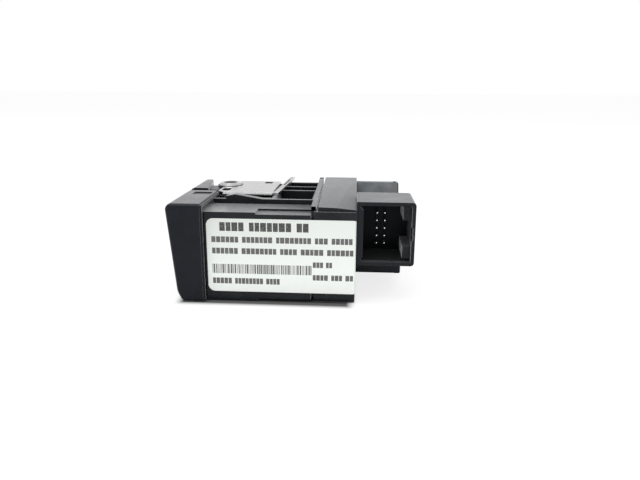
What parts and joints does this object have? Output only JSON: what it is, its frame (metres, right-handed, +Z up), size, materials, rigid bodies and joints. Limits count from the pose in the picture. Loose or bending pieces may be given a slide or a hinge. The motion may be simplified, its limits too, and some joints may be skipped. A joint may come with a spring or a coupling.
{
  "type": "electric parking brake switch",
  "caption": "Black plastic console switch for an electric parking brake: sprung pull lever, ribbed snap-in housing, steel clip, pin connector and a paper label.",
  "frame": {"origin": "middle of the switch's outline, on the surface that it lies on, as pictured on its side", "axes": "+X from the front trim to the connector, along which it is pushed into the console; +Y from the labelled side to the far side; +Z up, along the lever's hinge"},
  "size_m": [0.0776, 0.049, 0.0344],
  "materials": {
    "housing_plastic": "fine satin moulded black",
    "trim_plastic": "soft satin black, fine grain",
    "connector_plastic": "moulded black",
    "inner_plastic": "natural moulded",
    "spring_steel": "stamped and bright",
    "pin_metal": "tin-plated",
    "contact_bronze": "sprung bronze strip",
    "board_laminate": "solder-masked laminate",
    "chip_resin": "moulded resin",
    "lens_clear": "translucent",
    "lens_red": "translucent",
    "label_paper": "matt white sticker"
  },
  "bodies": {
    "switch_body": {"circuit_board": "board_laminate", "connector_header": "connector_plastic", "contact_pin_01": "pin_metal", "contact_pin_02": "pin_metal", "contact_pin_03": "pin_metal", "contact_pin_04": "pin_metal", "contact_pin_05": "pin_metal", "contact_pin_06": "pin_metal", "contact_pin_07": "pin_metal", "contact_pin_08": "pin_metal", "contact_pin_09": "pin_metal", "contact_pin_10": "pin_metal", "control_chip": "chip_resin", "front_trim": "trim_plastic", "indicator_led": "lens_clear", "label": "label_paper", "light_guide": "lens_clear", "main_housing": "housing_plastic", "pivot_pin": "pin_metal", "rear_cover": "housing_plastic", "retaining_clip": "spring_steel", "return_spring": "spring_steel", "telltale_lens": "lens_red"},
    "brake_lever": {"pull_lever": "trim_plastic", "symbol_lens": "lens_clear"},
    "contact_carriage": {"contact_slide": "inner_plastic", "wiper_contact_1": "contact_bronze", "wiper_contact_2": "contact_bronze"}
  },
  "joints": [
    {"name": "lever_pull", "type": "hinge", "parent": "switch_body", "child": "brake_lever", "pos_m": [-0.02601, 0.014, 0.016], "axis": [0, 0, 1], "range_deg": [-5, 9], "stiffness_Nm_per_rad": 0.2},
    {"name": "contact_travel", "type": "slide", "parent": "switch_body", "child": "contact_carriage", "axis": [1, 0, 0], "range_m": [-0.0009, 0.0016]}
  ],
  "couplings": [
    {"joint": "contact_travel", "follows": "lever_pull", "m_per_rad": 0.01}
  ]
}
